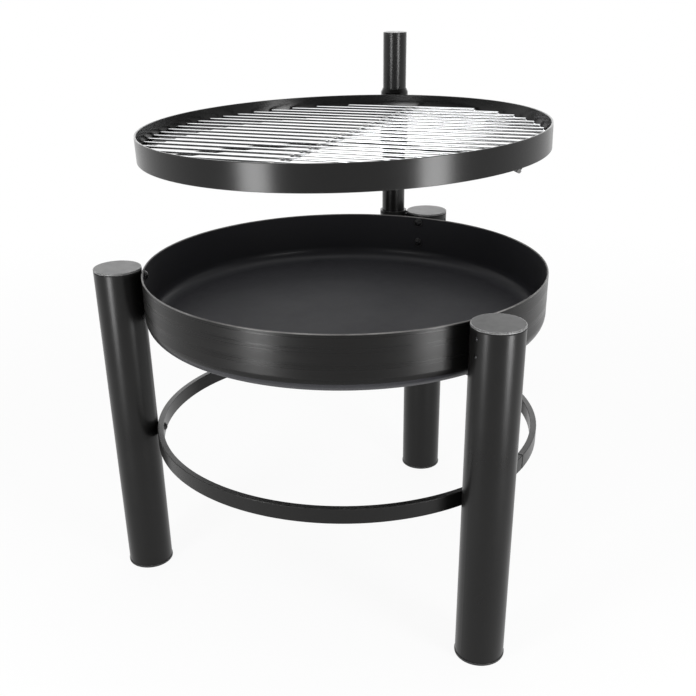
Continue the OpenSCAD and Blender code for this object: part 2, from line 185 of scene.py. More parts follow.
# Name, azimuth from the camera's side in degrees, distance, height of the middle, width and height
SIDE_LAMPS = (("lamp_left", -41, 1.55, 0.42, 0.38, 0.82), ("lamp_right", 43, 1.55, 0.42, 0.38, 0.82))
BACK_LAMP = ("lamp_back", 180, 3.2, 1.5, 5.0, 2.4)
TOP_LAMP_PLACE, TOP_LAMP_SIZE = (0.0, 0.1, 2.6), (3.0, 1.5)


# Settings

class PaintSettings(bpy.types.PropertyGroup):
    """Black coatings of the steel parts."""
    powder: FloatVectorProperty(
        name="Powder coat", description="Colour of the legs, rings and post", subtype="COLOR", size=3,
        min=0, max=1, default=(0.0038, 0.0037, 0.0036))
    bowl_outside: FloatVectorProperty(
        name="Bowl outside", description="Colour of the bowl's outer face", subtype="COLOR", size=3,
        min=0, max=1, default=(0.0040, 0.0038, 0.0037))
    bowl_inside: FloatVectorProperty(
        name="Bowl inside", description="Colour of the heat-proof paint in the bowl", subtype="COLOR", size=3,
        min=0, max=1, default=(0.0085, 0.0085, 0.0105))
    peel_height: FloatProperty(
        name="Peel height", description="Height of the orange peel in the powder coat", subtype="DISTANCE",
        unit="LENGTH", min=0, max=0.001, default=0.00002)
    streak_height: FloatProperty(
        name="Streak height", description="Height of the spinning marks under the bowl's paint",
        subtype="DISTANCE", unit="LENGTH", min=0, max=0.001, default=0.00005)


class MetalSettings(bpy.types.PropertyGroup):
    """Plated and blackened metals, and the moulded plastic."""
    chrome: FloatVectorProperty(
        name="Chrome", description="Colour of the grate's plating", subtype="COLOR", size=3,
        min=0, max=1, default=(0.80, 0.81, 0.82))
    zinc: FloatVectorProperty(
        name="Zinc", description="Colour of the clamp screw and inserts", subtype="COLOR", size=3,
        min=0, max=1, default=(0.58, 0.58, 0.60))
    oxide: FloatVectorProperty(
        name="Black oxide", description="Colour of the bolts", subtype="COLOR", size=3,
        min=0, max=1, default=(0.006, 0.006, 0.0065))
    plastic: FloatVectorProperty(
        name="Plastic", description="Colour of the foot plugs and the glide", subtype="COLOR", size=3,
        min=0, max=1, default=(0.006, 0.006, 0.006))


class WeldSettings(bpy.types.PropertyGroup):
    """Weld beads and spots."""
    bead: FloatProperty(
        name="Bead radius", description="Radius of a fillet weld's bead", subtype="DISTANCE",
        unit="LENGTH", min=0.0005, max=0.005, default=0.0022)
    ripple: FloatProperty(
        name="Ripple pitch", description="Distance between two ripples of a bead", subtype="DISTANCE",
        unit="LENGTH", min=0.0005, max=0.005, default=0.0016)
    ripple_depth: FloatProperty(
        name="Ripple depth", description="How far a ripple sinks", subtype="DISTANCE",
        unit="LENGTH", min=0, max=0.001, default=0.00035)
    tacks: IntProperty(
        name="Tacks", description="Number of tacks that hold the hoop to the band", min=3, max=24, default=10)


class StageSettings(bpy.types.PropertyGroup):
    """Floor, lamps and room."""
    side_lamp: FloatProperty(
        name="Side lamps", description="Brightness of the tall lamps at both sides", min=0, max=50,
        default=18.0)
    back_lamp: FloatProperty(
        name="Back lamp", description="Brightness of the wide lamp behind the object", min=0, max=50,
        default=1.15)
    top_lamp: FloatProperty(
        name="Top lamp", description="Brightness of the lamp overhead", min=0, max=50, default=1.2)
    room: FloatProperty(
        name="Room", description="Brightness of the room's plain light", min=0, max=2, default=0.36)
    front: FloatProperty(
        name="Front of the room", description="Brightness that gloss meets on the camera's side",
        min=0, max=1, default=0.12)
    whiteness: FloatProperty(
        name="Floor whiteness", subtype="FACTOR", min=0, max=1, default=0.92,
        description="Share of the floor's own white near the object, over its lit colour")
    floor: FloatVectorProperty(
        name="Floor", description="Colour of the floor", subtype="COLOR", size=3, min=0, max=1,
        default=(0.86, 0.86, 0.86))


# Node trees

def bare_tree(owner):
    """The emptied node tree of a material or world."""
    owner.use_nodes = True
    owner.node_tree.nodes.clear()
    return owner.node_tree


def feed(tree, socket, value):
    """Gives an input its value or the socket that feeds it."""
    if isinstance(value, bpy.types.NodeSocket):
        tree.links.new(value, socket)
    else:
        socket.default_value = value


def add(tree, kind, settings=None, **inputs):
    """Adds a node; an input is a value or the socket that feeds it."""
    made = tree.nodes.new(kind)
    for name, value in (settings or {}).items():
        setattr(made, name, value)
    for name, value in inputs.items():
        feed(tree, made.inputs[name.replace("_", " ")], value)
    return made


def calc(tree, operation, *values, clamp=False):
    """A Math node's result."""
    made = add(tree, "ShaderNodeMath", {"operation": operation, "use_clamp": clamp})
    for socket, value in zip(made.inputs, values):
        feed(tree, socket, value)
    return made.outputs[0]


def vector_calc(tree, operation, *values):
    """A Vector Math node's outputs, Vector and Value."""
    made = add(tree, "ShaderNodeVectorMath", {"operation": operation})
    for socket, value in zip(made.inputs, values):
        feed(tree, socket, value)
    return made.outputs


def split(tree, vector):
    """The x, y and z of a vector."""
    return add(tree, "ShaderNodeSeparateXYZ", None, Vector=vector).outputs


def spread(tree, value, low, high, start=0.0, end=1.0):
    """Maps start..end of a value to low..high."""
    made = add(tree, "ShaderNodeMapRange", None, Value=value)
    for name, number in (("From Min", start), ("From Max", end), ("To Min", low), ("To Max", high)):
        feed(tree, made.inputs[name], number)
    return made.outputs[0]


def close_to(tree, value, target, full, none):
    """1 within one distance of a target, down to 0 at another."""
    off = calc(tree, "ABSOLUTE", calc(tree, "SUBTRACT", value, target))
    return spread(tree, off, 1.0, 0.0, full, none)


def blend_values(tree, factor, first, second):
    """Mixes two values."""
    return add(tree, "ShaderNodeMix", {"data_type": "FLOAT"}, Factor=factor, A=first, B=second).outputs[0]


def blend_colours(tree, factor, first, second):
    """Mixes two colours, through the Mix node's colour sockets."""
    made = add(tree, "ShaderNodeMix", {"data_type": "RGBA"})
    feed(tree, made.inputs[0], factor)
    for socket, value in ((made.inputs[6], first), (made.inputs[7], second)):
        feed(tree, socket, value if isinstance(value, bpy.types.NodeSocket) else (*value, 1))
    return made.outputs[2]


def lay_over(tree, body, mask, share, colour):
    """Lays a share of a colour over a body where a mask says."""
    return blend_colours(tree, calc(tree, "MULTIPLY", mask, share), body, colour)


def shade(colour, factor):
    """A colour made darker or lighter."""
    return tuple(min(1.0, part * factor) for part in colour)


def mottled(tree, factor, colour, dark, light):
    """A colour between a dark and a light share of itself."""
    return blend_colours(tree, factor, shade(colour, dark), shade(colour, light))


def noise(tree, vector, scale, detail=2.0, rough=0.5, dimensions="3D"):
    """Noise of a scale per metre."""
    made = add(tree, "ShaderNodeTexNoise", {"noise_dimensions": dimensions},
               Vector=vector, Scale=scale, Detail=detail, Roughness=rough)
    return made.outputs[0]


def object_place(tree):
    """Place in the object's own frame."""
    return add(tree, "ShaderNodeTexCoord").outputs["Object"]


def from_axis(tree, centre):
    """Offset from a centre, its x, y and z, and the distance from the upright axis through that centre."""
    away = vector_calc(tree, "SUBTRACT", object_place(tree), centre)["Vector"]
    parts = split(tree, away)
    squares = [calc(tree, "POWER", parts[axis], 2.0) for axis in (0, 1)]
    return away, parts, calc(tree, "SQRT", calc(tree, "ADD", *squares))


def facing(tree):
    """The face's normal."""
    return add(tree, "ShaderNodeNewGeometry").outputs["Normal"]


def rounded_facing(tree, radius):
    """The normal over edges rounded by a radius."""
    return add(tree, "ShaderNodeBevel", {"samples": BEVEL_SAMPLES}, Radius=radius).outputs[0]


def seen_directly(tree):
    """1 for camera, glossy and transmission rays, which show the background."""
    rays = add(tree, "ShaderNodeLightPath").outputs
    return calc(tree, "MAXIMUM", rays["Is Camera Ray"],
                calc(tree, "MAXIMUM", rays["Is Glossy Ray"], rays["Is Transmission Ray"]))


# Node groups

def new_group(name, inputs, outputs):
    """An empty node group with float or vector inputs and float outputs."""
    group = bpy.data.node_groups.new(name, "ShaderNodeTree")
    for label, default in inputs.items():
        kind = "NodeSocketFloat" if isinstance(default, (int, float)) else "NodeSocketVector"
        group.interface.new_socket(label, in_out="INPUT", socket_type=kind).default_value = default
    for label in outputs:
        group.interface.new_socket(label, in_out="OUTPUT", socket_type="NodeSocketFloat")
    return group, add(group, "NodeGroupInput").outputs, add(group, "NodeGroupOutput").inputs


def coat_texture():
    """Orange peel of a sprayed or powdered coat, and its slow changes of gloss."""
    group, given, out = new_group("coat_texture", {"Peel per metre": 420.0, "Cloud per metre": 9.0},
                                  ("Height", "Cloud"))
    place = object_place(group)
    peel = noise(group, place, given["Peel per metre"], 1.5, 0.45)
    fine = noise(group, place, calc(group, "MULTIPLY", given["Peel per metre"], 4.0), 1.0)
    feed(group, out["Height"], calc(group, "MULTIPLY_ADD", fine, 0.25, peel))
    feed(group, out["Cloud"], noise(group, place, given["Cloud per metre"], 4.0, 0.6))
    return group


def edge_rub():
    """Where an edge or corner is near, broken up by small noise."""
    group, given, out = new_group("edge_rub", {"Width": 0.001, "Gain": 3.0, "Breaks": 0.75}, ("Mask",))
    level = vector_calc(group, "DOT_PRODUCT", rounded_facing(group, given["Width"]), facing(group))["Value"]
    edge = calc(group, "MULTIPLY", calc(group, "SUBTRACT", 1.0, level), given["Gain"], clamp=True)
    broken = spread(group, noise(group, object_place(group), 160.0, 3.0, 0.6),
                    calc(group, "SUBTRACT", 1.0, given["Breaks"]), 1.0, *NOISE_MIDDLE)
    feed(group, out["Mask"], calc(group, "MULTIPLY", edge, broken, clamp=True))
    return group


def spun_marks():
    """Fine rings that the spinning roller leaves round the bowl's axis."""
    group, given, out = new_group("spun_marks", {"Axis": (0.0, 0.0, 0.0), "Rings per metre": 520.0},
                                  ("Height", "Sheen"))
    away, parts, radius = from_axis(group, given["Axis"])
    profile = add(group, "ShaderNodeCombineXYZ", None, X=radius, Y=parts[2]).outputs[0]
    fine = noise(group, profile, given["Rings per metre"], 3.0, 0.7, "2D")
    wide = noise(group, profile, calc(group, "MULTIPLY", given["Rings per metre"], 0.14), 2.0, 0.6, "2D")
    rings = calc(group, "ADD", fine, wide)
    patch = spread(group, noise(group, away, 7.0, 2.0), 0.35, 1.0, *NOISE_MIDDLE)
    feed(group, out["Height"], calc(group, "MULTIPLY", rings, patch))
    uneven = calc(group, "MULTIPLY", calc(group, "SUBTRACT", rings, 1.0), 0.5)
    feed(group, out["Sheen"], calc(group, "MULTIPLY_ADD", uneven, patch, 0.5))
    return group


def settled_dust():
    """Faint dust on faces that look up."""
    group, given, out = new_group("settled_dust", {"Amount": 0.2}, ("Mask",))
    lies = spread(group, split(group, facing(group))[2], 0.0, 1.0, 0.6, 1.0)
    cloud = spread(group, noise(group, object_place(group), 60.0, 5.0, 0.7), 0.2, 1.0, 0.4, 0.7)
    feed(group, out["Mask"], calc(group, "MULTIPLY", calc(group, "MULTIPLY", lies, cloud), given["Amount"]))
    return group


GROUP_MAKERS = {"coat_texture": coat_texture, "edge_rub": edge_rub, "spun_marks": spun_marks,
                "settled_dust": settled_dust}


def use_group(tree, name, **inputs):
    """The outputs of a node group, which is made on its first use."""
    group = bpy.data.node_groups.get(name) or GROUP_MAKERS[name]()
    return add(tree, "ShaderNodeGroup", {"node_tree": group}, **inputs).outputs


# Materials

def new_material(name, **constants):
    """A material with one Principled shader, its constants on its own sockets."""
    material = bpy.data.materials.new(name)
    tree = bare_tree(material)
    shader = add(tree, "ShaderNodeBsdfPrincipled", None, **constants)
    add(tree, "ShaderNodeOutputMaterial", None, Surface=shader.outputs[0])
    return material, tree, shader.inputs


def relief(tree, surface, height, depth, rounding=0.0):
    """Bump of a height in metres, over edges rounded by the given radius."""
    bump = add(tree, "ShaderNodeBump", None, Strength=1.0, Distance=depth, Height=height)
    if rounding:
        feed(tree, bump.inputs["Normal"], rounded_facing(tree, rounding))
    feed(tree, surface["Normal"], bump.outputs[0])


def coated(name, colour, depth, rough=(0.26, 0.34), peel=420.0, dust=0.25, rounding=COAT_ROUNDING,
           edge_wear_and_highlight=WORN_COAT, shade_line_height=None, specular=COAT_SPECULAR):
    """Black coating: mottled, lighter along its edges, faintly dusty on top. The lighter edges are wear, and
    on the leg caps a painted highlight.

    depth is the height of its peel; the joint's height is where a nearly black line of painted shade runs.
    """
    width, gain, breaks, strength, grey = edge_wear_and_highlight
    material, tree, surface = new_material(name, Specular_IOR_Level=specular)
    coat = use_group(tree, "coat_texture", Peel_per_metre=peel)
    rub = use_group(tree, "edge_rub", Width=width, Gain=gain, Breaks=breaks)["Mask"]
    dusty = use_group(tree, "settled_dust", Amount=dust)["Mask"]
    body = mottled(tree, coat["Cloud"], colour, 0.8, 1.25)
    body = lay_over(tree, body, rub, strength, (grey, grey, grey))
    body = lay_over(tree, body, dusty, 0.12, DUST_COLOUR)
    gloss = spread(tree, coat["Cloud"], *rough, *NOISE_SPAN)
    gloss = calc(tree, "MULTIPLY_ADD", dusty, 0.35, gloss)
    # Painted shade: a nearly black, rougher line where the cap meets the tube.
    if shade_line_height:
        shade_line = close_to(tree, split(tree, object_place(tree))[2], shade_line_height, 0.6 * MM, 1.4 * MM)
        body = blend_colours(tree, shade_line, body, JOINT_SHADE_COLOUR)
        gloss = calc(tree, "MULTIPLY_ADD", shade_line, 0.5, gloss)
    feed(tree, surface["Base Color"], body)
    feed(tree, surface["Roughness"], gloss)
    relief(tree, surface, coat["Height"], depth, rounding)
    return material


def paint_bowl(settings):
    """Satin outside over spinning marks; matter heat-proof paint inside, with painted light making the floor
    greyer and a painted highlight round the rim.
    """
    material, tree, surface = new_material("bowl_paint", Specular_IOR_Level=BOWL_SPECULAR)
    coat = use_group(tree, "coat_texture", Peel_per_metre=520.0)
    marks = use_group(tree, "spun_marks", Axis=(BOWL_AXIS.x, BOWL_AXIS.y, 0.0))
    rub = use_group(tree, "edge_rub", Width=1.4 * MM, Gain=6.0)["Mask"]
    dusty = use_group(tree, "settled_dust", Amount=0.5)["Mask"]
    _, (_, _, height), radius = from_axis(tree, (BOWL_AXIS.x, BOWL_AXIS.y, BOWL_LOW.z))
    inside = calc(tree, "MULTIPLY", calc(tree, "LESS_THAN", radius, BOWL_R - BOWL_SHEET / 2),
                  calc(tree, "GREATER_THAN", height, BOWL_SHEET / 2))

    outer = mottled(tree, marks["Sheen"], settings.bowl_outside, 0.75, 1.3)
    inner = mottled(tree, coat["Cloud"], settings.bowl_inside, 0.75, 1.35)
    # Painted light: the floor is laid lighter grey than the walls, fading out up the rounded corner.
    inner = blend_colours(tree, spread(tree, height, PAINTED_FLOOR_LIGHT, 0.0, *PAINTED_FLOOR_LIGHT_FADE), inner, ASH_AND_PAINTED_LIGHT_COLOUR)
    body = blend_colours(tree, inside, outer, inner)
    # Painted highlight: a lighter band round the top of the rim, laid on together with the rubbed edges.
    rim_height = BOWL_HIGH.z - BOWL_LOW.z
    rim_highlight = spread(tree, height, 0.0, 1.0, rim_height - RIM_HIGHLIGHT_START, rim_height - RIM_HIGHLIGHT_FULL)
    rim_highlight = calc(tree, "MULTIPLY", rim_highlight, spread(tree, coat["Cloud"], 0.3, 1.0, 0.35, 0.6))
    body = lay_over(tree, body, calc(tree, "MAXIMUM", rub, rim_highlight), 0.8, BOWL_RUB_AND_HIGHLIGHT)
    feed(tree, surface["Base Color"], lay_over(tree, body, dusty, 0.15, ASH_AND_PAINTED_LIGHT_COLOUR))

    outer_gloss = spread(tree, marks["Sheen"], 0.19, 0.41, *NOISE_MIDDLE)
    inner_gloss = spread(tree, coat["Cloud"], 0.60, 0.68, *NOISE_SPAN)
    corner = close_to(tree, height, CORNER_Z, *CORNER_FADE)
    inner_gloss = calc(tree, "MULTIPLY_ADD", corner, -0.32, inner_gloss)
    feed(tree, surface["Roughness"], blend_values(tree, inside, outer_gloss, inner_gloss))

    streaks = settings.streak_height / settings.peel_height
    marked = calc(tree, "MULTIPLY_ADD", marks["Height"], streaks, coat["Height"])
    relief(tree, surface, marked, settings.peel_height, COAT_ROUNDING)
    return material


def plate_wire(settings):
    """Chromed wire: bright, with faint drawing marks, a tint near the welds and painted shade that turns its
    underside nearly black, more so left of the cross rod.
    """
    material, tree, surface = new_material("chromed_wire", Metallic=1.0)
    local = add(tree, "ShaderNodeMapping", {"vector_type": "TEXTURE"}, Vector=object_place(tree),
                Location=GRATE_PLACE.to_translation(), Rotation=GRATE_PLACE.to_euler()).outputs[0]
    across = split(tree, local)[0]
    lines = noise(tree, vector_calc(tree, "MULTIPLY", local, (12.0, 900.0, 900.0))["Vector"], 1.0, 2.0, 0.6)
    cloud = noise(tree, local, 22.0, 3.0, 0.6)
    tint = calc(tree, "MULTIPLY", close_to(tree, across, 0.0, 3 * MM, 7 * MM),
                spread(tree, cloud, 0.1, 0.5, *NOISE_MIDDLE), clamp=True)
    # Painted shade: faces that look down turn nearly black, fully left of the cross rod and at 0.6 right of
    # it.
    painted_underside_shade = spread(tree, split(tree, facing(tree))[2], 1.0, 0.0, -0.05, 0.2)
    painted_shade_share = spread(tree, calc(tree, "LESS_THAN", across, 0.0), 0.6, 1.0)
    body = mottled(tree, cloud, settings.chrome, 0.93, 1.0)
    body = lay_over(tree, body, painted_underside_shade, painted_shade_share, shade(settings.chrome, 0.04))
    feed(tree, surface["Base Color"], blend_colours(tree, tint, body, HEAT_TINT))
    gloss = spread(tree, lines, 0.10, 0.18, *NOISE_SPAN)
    feed(tree, surface["Roughness"], calc(tree, "MULTIPLY_ADD", tint, 0.15, gloss))
    relief(tree, surface, lines, 0.0012 * MM)
    return material


def plate_spots(settings):
    """Chrome over the weld spots: duller and darker than on the wire."""
    material, tree, surface = new_material("chromed_spots", Metallic=1.0)
    coat = use_group(tree, "coat_texture", Peel_per_metre=1500.0, Cloud_per_metre=300.0)
    cloud = spread(tree, coat["Cloud"], 0.0, 1.0, *NOISE_MIDDLE)
    feed(tree, surface["Base Color"], mottled(tree, cloud, settings.chrome, 0.45, 0.8))
    feed(tree, surface["Roughness"], spread(tree, coat["Cloud"], 0.2, 0.38, *NOISE_SPAN))
    relief(tree, surface, coat["Height"], 0.05 * MM)
    return material


def plate_zinc(settings, name="zinc_plating", dull=1.0):
    """Zinc plating with slow cloudy passivation."""
    material, tree, surface = new_material(name, Metallic=1.0)
    coat = use_group(tree, "coat_texture", Peel_per_metre=900.0, Cloud_per_metre=90.0)
    rub = use_group(tree, "edge_rub", Width=0.4 * MM)["Mask"]
    body = mottled(tree, coat["Cloud"], settings.zinc, 0.85 * dull, 1.1 * dull)
    feed(tree, surface["Base Color"], lay_over(tree, body, rub, 0.5 * dull, ZINC_RUB))
    feed(tree, surface["Roughness"], spread(tree, coat["Cloud"], 0.24, 0.4, *NOISE_SPAN))
    relief(tree, surface, coat["Height"], 0.01 * MM, 0.25 * MM)
    return material


def mould_plastic(settings):
    """Moulded plastic with a fine eroded grain."""
    material, tree, surface = new_material("moulded_plastic")
    coat = use_group(tree, "coat_texture", Peel_per_metre=1400.0, Cloud_per_metre=30.0)
    rub = use_group(tree, "edge_rub", Width=1.2 * MM, Gain=6.0)["Mask"]
    body = mottled(tree, coat["Cloud"], settings.plastic, 0.85, 1.2)
    feed(tree, surface["Base Color"], lay_over(tree, body, rub, 0.7, PLASTIC_RUB))
    feed(tree, surface["Roughness"], spread(tree, coat["Cloud"], 0.42, 0.55, *NOISE_SPAN))
    relief(tree, surface, coat["Height"], 0.02 * MM, 0.4 * MM)
    return material


def weld_coat(paint):
    """Powder coat over a bead, its peel lost in the ripples."""
    return (bpy.data.materials.get("weld_powder_coat")
            or coated("weld_powder_coat", paint.powder, paint.peel_height, (0.26, 0.36), 600.0))


def dress(mesh, material):
    """Gives a mesh one material in place of what it has."""
    mesh.materials.clear()
    mesh.materials.append(material)


def finish_nodes(material, *nodes):
    """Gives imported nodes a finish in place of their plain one."""
    for node in nodes:
        dress(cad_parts[node].data, material)


# Meshes

def deselect():
    """Leaves edit mode and deselects every object."""
    if bpy.context.mode != "OBJECT":
        bpy.ops.object.mode_set(mode="OBJECT")
    bpy.ops.object.select_all(action="DESELECT")


def choose(*pieces):
    """Selects pieces alone and makes the first one active."""
    deselect()
    for piece in pieces:
        piece.select_set(True)
    bpy.context.view_layer.objects.active = pieces[0]


def active(name=None):
    """The active object, given a name if there is one."""
    piece = bpy.context.view_layer.objects.active
    if name:
        piece.name = piece.data.name = name
    return piece


def shape(piece=None, test=None):
    """Enters edit mode with every vertex selected, or those of a piece that pass a test."""
    bpy.ops.object.mode_set(mode="EDIT")
    bpy.ops.mesh.select_mode(type="VERT")
    bpy.ops.mesh.select_all(action="SELECT" if test is None else "DESELECT")
    if test:
        bpy.ops.object.mode_set(mode="OBJECT")
        for vertex in piece.data.vertices:
            vertex.select = test(vertex.co)
        bpy.ops.object.mode_set(mode="EDIT")


def done():
    """Leaves edit mode."""
    bpy.ops.object.mode_set(mode="OBJECT")


def straight_bead(length, radius, welds, flat=1.0):
    """A rippled bead along z through the origin, with rounded ends; flat squeezes it along y."""
    deselect()
    bpy.ops.mesh.primitive_cylinder_add(vertices=BEAD_SIDES, radius=radius, depth=length)
    bead = active()
    rings = 2 * max(2, round(length / welds.ripple))
    step = length / rings
    bpy.ops.object.mode_set(mode="EDIT")
    bpy.ops.mesh.select_mode(type="EDGE")
    bpy.ops.mesh.select_all(action="DESELECT")
    bpy.ops.object.mode_set(mode="OBJECT")
    for edge in bead.data.edges:
        first, second = (bead.data.vertices[index].co for index in edge.vertices)
        edge.select = abs(first.z - second.z) > length / 2
    bpy.ops.object.mode_set(mode="EDIT")
    bpy.ops.mesh.subdivide(number_cuts=rings - 1)
    shape(bead, lambda place: round((place.z + length / 2) / step) % 2 == 1)
    bpy.ops.transform.shrink_fatten(value=-welds.ripple_depth)
    for end in (-1, 1):
        for level, share in enumerate(BEAD_ENDS):
            height = end * (length / 2 - level * step)
            shape(bead, lambda place: abs(place.z - height) < step / 4)
            bpy.ops.transform.resize(value=(share, share, 1), center_override=(0, 0, height))
    shape()
    bpy.ops.transform.resize(value=(1, flat, 1), center_override=ORIGIN)
    done()
    return bead


def round_bead(circle_r, radius, welds):
    """A rippled bead round the z axis."""
    deselect()
    bpy.ops.mesh.primitive_circle_add(vertices=BEAD_SIDES, radius=radius)
    bead = active()
    shape()
    bpy.ops.transform.rotate(value=pi / 2, orient_axis="X", center_override=ORIGIN)
    bpy.ops.transform.translate(value=(circle_r, 0, 0))
    steps = 2 * max(6, round(tau * circle_r / welds.ripple / 2))
    bpy.ops.mesh.spin(steps=steps, angle=tau, center=ORIGIN, axis=(0, 0, 1))
    bpy.ops.mesh.select_all(action="SELECT")
    bpy.ops.mesh.remove_doubles(threshold=MERGE_DISTANCE)
    bpy.ops.mesh.normals_make_consistent(inside=False)
    shape(bead, lambda place: round(atan2(place.y, place.x) / tau * steps) % 2 == 1)
    bpy.ops.transform.shrink_fatten(value=-welds.ripple_depth)
    done()
    return bead


def spot(radius, height):
    """A small squeezed blob with a sunken middle, flat side down."""
    deselect()
    bpy.ops.mesh.primitive_uv_sphere_add(segments=12, ring_count=8, radius=radius)
    blob = active()
    shape()
    bpy.ops.transform.resize(value=(1, 1, height / radius), center_override=ORIGIN)
    shape(blob, lambda place: place.z < 0)
    bpy.ops.transform.resize(value=(1.12, 1.12, 0.4), center_override=ORIGIN)
    shape(blob, lambda place: place.z > 0.9 * height)
    bpy.ops.transform.translate(value=(0, 0, -0.2 * height))
    done()
    return blob


def copies(model, places):
    """Copies a modelled piece to each place, each with its own mesh, and joins them."""
    made = []
    for place in places:
        choose(model)
        bpy.ops.object.duplicate(linked=False)
        active().matrix_world = place
        made.append(active())
    bpy.data.meshes.remove(model.data)
    choose(*made)
    bpy.ops.object.join()
    return active()


def settle(piece, name, body, material):
    """Puts the place into the mesh, smooths it, gives it its material and hands the piece to its body."""
    choose(piece)
    bpy.ops.object.transform_apply(location=True, rotation=True, scale=True)
    bpy.ops.object.shade_smooth_by_angle(angle=SMOOTH_ANGLE)
    piece.name = piece.data.name = name
    dress(piece.data, material)
    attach(piece, body)


def at(place, x, y, z, turn=None):
    """A place moved in its own frame, then turned."""
    moved = place @ Matrix.Translation((x, y, z))
    return moved @ turn if turn else moved


# Operators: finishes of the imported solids

class FinishStand(bpy.types.Operator):
    """Powder coat on the legs, their discs, the lower ring and the socket; plastic under the legs"""
    bl_idname = "fire_bowl.finish_stand"
    bl_label = "Finish Stand"

    def execute(self, context):
        paint = context.scene.fire_bowl_paint
        coat = coated("leg_powder_coat", paint.powder, paint.peel_height, shade_line_height=LEG_TOP - JOINT_SHADE_DROP)
        finish_nodes(coat, "leg_rear", "leg_right", "leg_left", "post_socket", "socket_floor", "socket_welds")
        # Painted highlight: a light grey, nearly unbroken line round each cap's rim.
        cap_coat = coated("cap_powder_coat", paint.powder, 0.35 * paint.peel_height, (0.32, 0.36),
                          edge_wear_and_highlight=CAP_RIM_HIGHLIGHT, specular=CAP_SPECULAR)
        finish_nodes(cap_coat, "leg_cap_rear", "leg_cap_right", "leg_cap_left")
        ring_coat = coated("ring_powder_coat", paint.powder, paint.peel_height, (0.26, 0.33), 380.0)
        finish_nodes(ring_coat, "lower_ring")
        plastic = mould_plastic(context.scene.fire_bowl_metal)
        finish_nodes(plastic, "foot_plug_rear", "foot_plug_right", "foot_plug_left", "post_plug")
        return {"FINISHED"}


class FinishBowl(bpy.types.Operator):
    """Paint on the bowl, satin outside and matter inside"""
    bl_idname = "fire_bowl.finish_bowl"
    bl_label = "Finish Bowl"

    def execute(self, context):
        finish_nodes(paint_bowl(context.scene.fire_bowl_paint), "bowl")
        return {"FINISHED"}


class FinishFasteners(bpy.types.Operator):
    """Black oxide on the bolts and washers, zinc on the inserts, rivets and clamp screw"""
    bl_idname = "fire_bowl.finish_fasteners"
    bl_label = "Finish Fasteners"

    def execute(self, context):
        metal = context.scene.fire_bowl_metal
        oxide = coated("black_oxide", metal.oxide, 0.008 * MM, (0.22, 0.34), 1200.0, 0.1, 0.3 * MM)
        finish_nodes(oxide, "bowl_bolts", "ring_bolts", "bowl_washers")
        finish_nodes(plate_zinc(metal), "bowl_inserts", "ring_inserts", "clamp_screw", "clamp_bar")
        finish_nodes(plate_zinc(metal, "dull_zinc", 0.06), "side_rivets")
        return {"FINISHED"}


class FinishGrill(bpy.types.Operator):
    """Powder coat on the post, sleeve, band and hoop; chrome on the grate"""
    bl_idname = "fire_bowl.finish_grill"
    bl_label = "Finish Grill"

    def execute(self, context):
        paint = context.scene.fire_bowl_paint
        post_coat = coated("post_powder_coat", paint.powder, 0.15 * paint.peel_height, (0.24, 0.30),
                           specular=POST_SPECULAR)
        finish_nodes(post_coat, "post_tube", "post_cap")
        band_coat = coated("band_powder_coat", paint.powder, 0.4 * paint.peel_height, (0.20, 0.25), 380.0)
        finish_nodes(band_coat, "sleeve", "neck_plates", "ring_band", "ledge_hoop", "brace_rod", "clamp_nut")
        finish_nodes(plate_wire(context.scene.fire_bowl_metal), "grate_wires", "grate_cross_rod")
        return {"FINISHED"}


# Operators: new pieces

class WeldStand(bpy.types.Operator):
    """The lower ring's seam, and the bead round the plate that closes the post's socket"""
    bl_idname = "fire_bowl.weld_stand"
    bl_label = "Weld Stand"

    def execute(self, context):
        welds, coat = context.scene.fire_bowl_welds, weld_coat(context.scene.fire_bowl_paint)
        height = LOWER_HIGH.z - LOWER_LOW.z
        radius = (LOWER_HIGH.x - LOWER_LOW.x) / 2
        centre = (LOWER_LOW + LOWER_HIGH) / 2
        seam = Matrix.Translation(centre) @ Matrix.Rotation(-SEAM_AZIMUTH, 4, "Z")
        outside = straight_bead(height - SEAM_GAP, SEAM_R, welds, SEAM_FLAT)
        outside.matrix_world = at(seam, 0, radius, 0)
        settle(outside, "ring_seam_outside", "stand", coat)
        above = straight_bead(LOWER_T - SEAM_GAP, SEAM_R, welds, SEAM_FLAT)
        above.matrix_world = at(seam, 0, radius - LOWER_T / 2, height / 2, ALONG_Y)
        settle(above, "ring_seam_above", "stand", coat)
        low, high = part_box("socket_floor")
        closing = round_bead((high.x - low.x) / 2, 0.8 * welds.bead, welds)
        closing.matrix_world = Matrix.Translation((POST_AXIS.x, POST_AXIS.y, low.z))
        settle(closing, "socket_floor_weld", "stand", coat)
        return {"FINISHED"}


class WeldNeck(bpy.types.Operator):
    """Fillet beads along both neck plates, at the band and at the sleeve"""
    bl_idname = "fire_bowl.weld_neck"
    bl_label = "Weld Neck"

    def execute(self, context):
        welds = context.scene.fire_bowl_welds
        post_y = (NECK_PLACE.inverted() @ Vector((POST_AXIS.x, POST_AXIS.y, RING_TOP))).y
        in_fillet = 0.35 * welds.bead
        places = []
        for side in (-1, 1):
            for face in (-1, 1):
                x = side * NECK_PITCH / 2 + face * NECK_T / 2
                at_band = sqrt(RING_R ** 2 - x ** 2) + in_fillet
                at_sleeve = post_y - sqrt(SLEEVE_R ** 2 - x ** 2) - in_fillet
                for y in (at_band, at_sleeve):
                    places.append(at(NECK_PLACE, x + face * in_fillet, y, (NECK_LOW + NECK_HIGH) / 2))
        bead = straight_bead(NECK_HIGH - NECK_LOW - NECK_GAP, welds.bead, welds)
        settle(copies(bead, places), "neck_welds", "carrier",
               weld_coat(context.scene.fire_bowl_paint))
        return {"FINISHED"}


